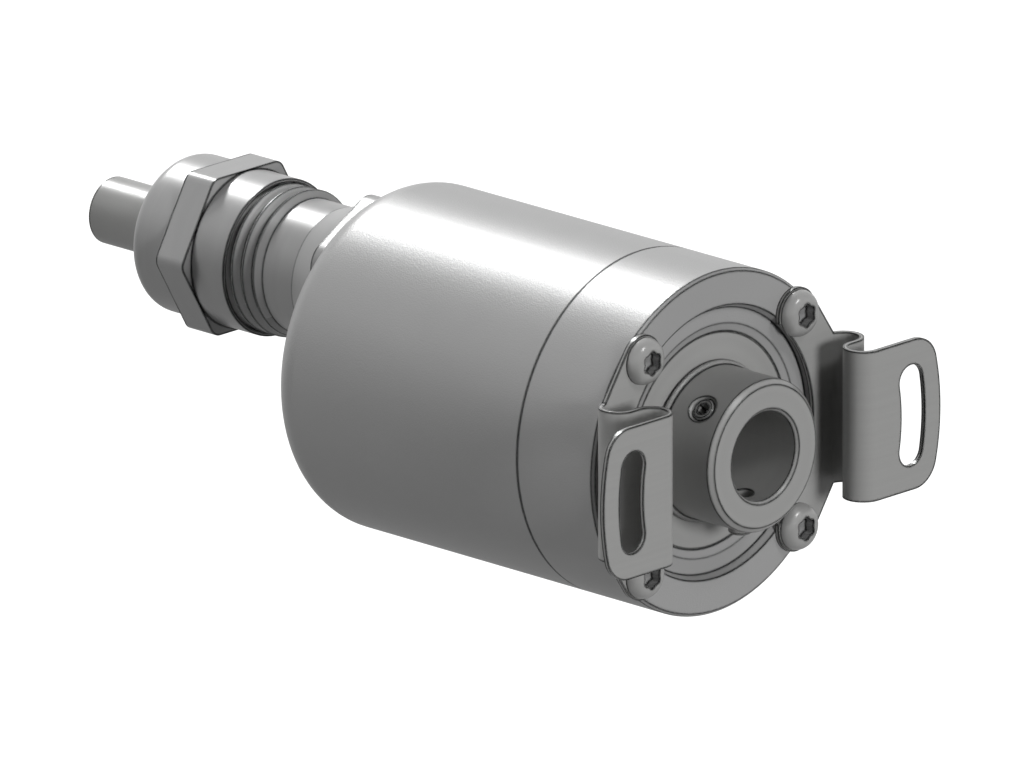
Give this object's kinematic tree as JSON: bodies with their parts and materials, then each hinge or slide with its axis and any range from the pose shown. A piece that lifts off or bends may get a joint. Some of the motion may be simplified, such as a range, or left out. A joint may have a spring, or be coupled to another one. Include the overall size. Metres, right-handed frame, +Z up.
{
  "type": "absolute rotary encoder",
  "caption": "Cylindrical absolute rotary encoder with a blind hollow shaft, folded spring tabs with curved slots and a rear axial cable gland.",
  "frame": {"origin": "on the shaft axis, in the plane of the flange's front face", "axes": "shaft axis along Y with the hub's mouth facing -Y and the cable leaving toward +Y, +Z up through the cable gland's side of the shaft axis, +X to the right seen from the hub's mouth"},
  "size_m": [0.0794, 0.1498, 0.058],
  "materials": {
    "cast_housing": "fine bead blasted, satin",
    "turned_shaft": "turned, satin",
    "spring_sheet": "rolled sheet, satin",
    "screw_steel": "satin",
    "gland_metal": "satin nickel plate",
    "seal_case": "pressed sheet, satin",
    "bearing_steel": "ground and polished",
    "inner_metal": "machined",
    "gear_brass": "machined",
    "gear_plastic": "moulded, matte",
    "magnet": "sintered, matte",
    "disc_glass": "clear",
    "circuit_board": "coated board",
    "chip_plastic": "moulded, matte",
    "connector_plastic": "moulded, matte",
    "soft_rubber": "matte",
    "jacket_plastic": "matte",
    "shield_braid": "tinned braid",
    "core_plastic": "insulated wire"
  },
  "bodies": {
    "housing": {"flange": "cast_housing", "cover": "cast_housing", "cover_o_ring": "soft_rubber", "coupling_spring_left": "spring_sheet", "coupling_spring_right": "spring_sheet", "coupling_screws": "screw_steel", "shaft_seal": "seal_case", "front_bearing_outer_race": "bearing_steel", "rear_bearing_outer_race": "bearing_steel", "outer_race_spacer": "inner_metal", "bearing_clip": "screw_steel", "lamp_board": "circuit_board", "lamp": "connector_plastic", "optical_sensor": "chip_plastic", "reticle": "disc_glass", "sensor_board": "circuit_board", "front_gear_plate": "inner_metal", "rear_gear_plate": "inner_metal", "gear_axles": "screw_steel", "field_sensors": "chip_plastic", "main_board": "circuit_board", "main_board_parts": "chip_plastic", "board_header": "connector_plastic", "interface_board": "circuit_board", "interface_board_parts": "chip_plastic", "cable_connector": "connector_plastic", "stack_spacers": "inner_metal", "stack_screws": "screw_steel", "gland_gasket": "soft_rubber", "gland_body": "gland_metal", "gland_lock_nut": "gland_metal", "sealing_sleeve": "soft_rubber", "cable_jacket": "jacket_plastic", "cable_shield": "shield_braid", "cable_cores": "core_plastic"},
    "rotor": {"hollow_shaft": "turned_shaft", "front_bearing_inner_race": "bearing_steel", "rear_bearing_inner_race": "bearing_steel", "inner_race_spacer": "inner_metal", "shaft_clip": "screw_steel", "code_disc_hub": "inner_metal", "code_disc": "disc_glass", "drive_pinion": "gear_brass"},
    "upper_screw": {"upper_set_screw": "screw_steel"},
    "lower_screw": {"lower_set_screw": "screw_steel"},
    "front_ball_set": {"front_bearing_balls": "bearing_steel", "front_bearing_cage": "gear_brass"},
    "rear_ball_set": {"rear_bearing_balls": "bearing_steel", "rear_bearing_cage": "gear_brass"},
    "first_gear": {"gear_wheel_1": "gear_plastic", "gear_magnet_1": "magnet"},
    "second_gear": {"gear_wheel_2": "gear_plastic", "gear_magnet_2": "magnet"},
    "third_gear": {"gear_wheel_3": "gear_plastic", "gear_magnet_3": "magnet"},
    "clamp": {"clamp_cage": "gear_plastic"},
    "gland_nut": {"compression_nut": "gland_metal"}
  },
  "joints": [
    {"name": "shaft_spin", "type": "hinge", "parent": "housing", "child": "rotor", "pos_m": [0, 0, 0], "axis": [0, -1, 0], "continuous": true},
    {"name": "upper_screw_travel", "type": "slide", "parent": "rotor", "child": "upper_screw", "axis": [-0.7071, 0, 0.7071], "range_m": [0, 0.003]},
    {"name": "lower_screw_travel", "type": "slide", "parent": "rotor", "child": "lower_screw", "axis": [0, 0, -1], "range_m": [-0.0015, 0.0015]},
    {"name": "front_balls_spin", "type": "hinge", "parent": "housing", "child": "front_ball_set", "pos_m": [0, 0.0087, 0], "axis": [0, -1, 0], "continuous": true},
    {"name": "rear_balls_spin", "type": "hinge", "parent": "housing", "child": "rear_ball_set", "pos_m": [0, 0.0167, 0], "axis": [0, -1, 0], "continuous": true},
    {"name": "first_gear_spin", "type": "hinge", "parent": "housing", "child": "first_gear", "pos_m": [0, 0.038, 0.012], "axis": [0, -1, 0], "continuous": true},
    {"name": "second_gear_spin", "type": "hinge", "parent": "housing", "child": "second_gear", "pos_m": [0.01039, 0.038, 0.006], "axis": [0, -1, 0], "continuous": true},
    {"name": "third_gear_spin", "type": "hinge", "parent": "housing", "child": "third_gear", "pos_m": [0.01039, 0.038, -0.006], "axis": [0, -1, 0], "continuous": true},
    {"name": "clamp_travel", "type": "slide", "parent": "housing", "child": "clamp", "axis": [0, 1, 0], "range_m": [0, 0.0075]},
    {"name": "gland_nut_turn", "type": "hinge", "parent": "clamp", "child": "gland_nut", "pos_m": [0, 0.105, 0.0103], "axis": [0, 1, 0], "range_deg": [0, 1080]}
  ],
  "couplings": [
    {"joint": "front_balls_spin", "follows": "shaft_spin", "ratio": 0.43269},
    {"joint": "rear_balls_spin", "follows": "shaft_spin", "ratio": 0.43269},
    {"joint": "first_gear_spin", "follows": "shaft_spin", "ratio": -0.25},
    {"joint": "second_gear_spin", "follows": "shaft_spin", "ratio": 0.0625},
    {"joint": "third_gear_spin", "follows": "shaft_spin", "ratio": -0.015625},
    {"joint": "clamp_travel", "follows": "gland_nut_turn", "m_per_rad": 0.00039789}
  ]
}
